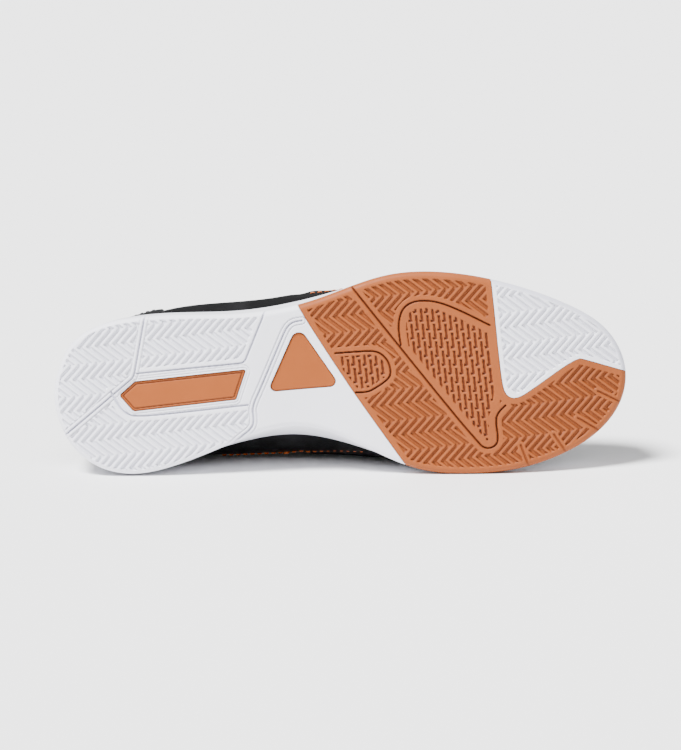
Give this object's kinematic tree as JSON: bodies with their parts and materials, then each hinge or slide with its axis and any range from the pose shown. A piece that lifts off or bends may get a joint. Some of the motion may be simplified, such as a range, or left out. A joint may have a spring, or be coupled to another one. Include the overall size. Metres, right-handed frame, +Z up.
{
  "type": "indoor soccer shoe",
  "caption": "Low black indoor soccer shoe for the right foot with a white and gum rubber sole and orange windows, lying on its inner side.",
  "frame": {"origin": "middle of the lying shoe's box, at the floor", "axes": "+X from heel to toe, +Y away from the tread, towards the open side of the shoe, +Z up to the shoe's outer side"},
  "size_m": [0.2992, 0.1222, 0.1056],
  "materials": {
    "white_rubber": "white moulded rubber, satin",
    "gum_rubber": "gum rubber, satin",
    "orange_rubber": "orange rubber, satin",
    "white_foam": "white moulded foam, matt",
    "liner": "dark knitted lining",
    "black_upper": "black synthetic leather, matt",
    "black_overlay": "black synthetic leather, slightly glossier",
    "tongue": "black padded mesh",
    "lace": "black flat woven lace"
  },
  "bodies": {
    "root": {"outsole_heel": "white_rubber", "outsole_forefoot": "gum_rubber", "outsole_toe": "white_rubber", "heel_insert": "orange_rubber", "arch_insert": "orange_rubber", "midsole": "white_foam", "insole": "liner", "upper": "black_upper", "toe_cap": "black_overlay", "heel_counter": "black_overlay", "eyestay": "black_overlay", "tongue": "tongue", "lace_cross_1": "lace", "lace_cross_2": "lace", "lace_cross_3": "lace", "lace_cross_4": "lace", "lace_cross_5": "lace"}
  },
  "joints": []
}
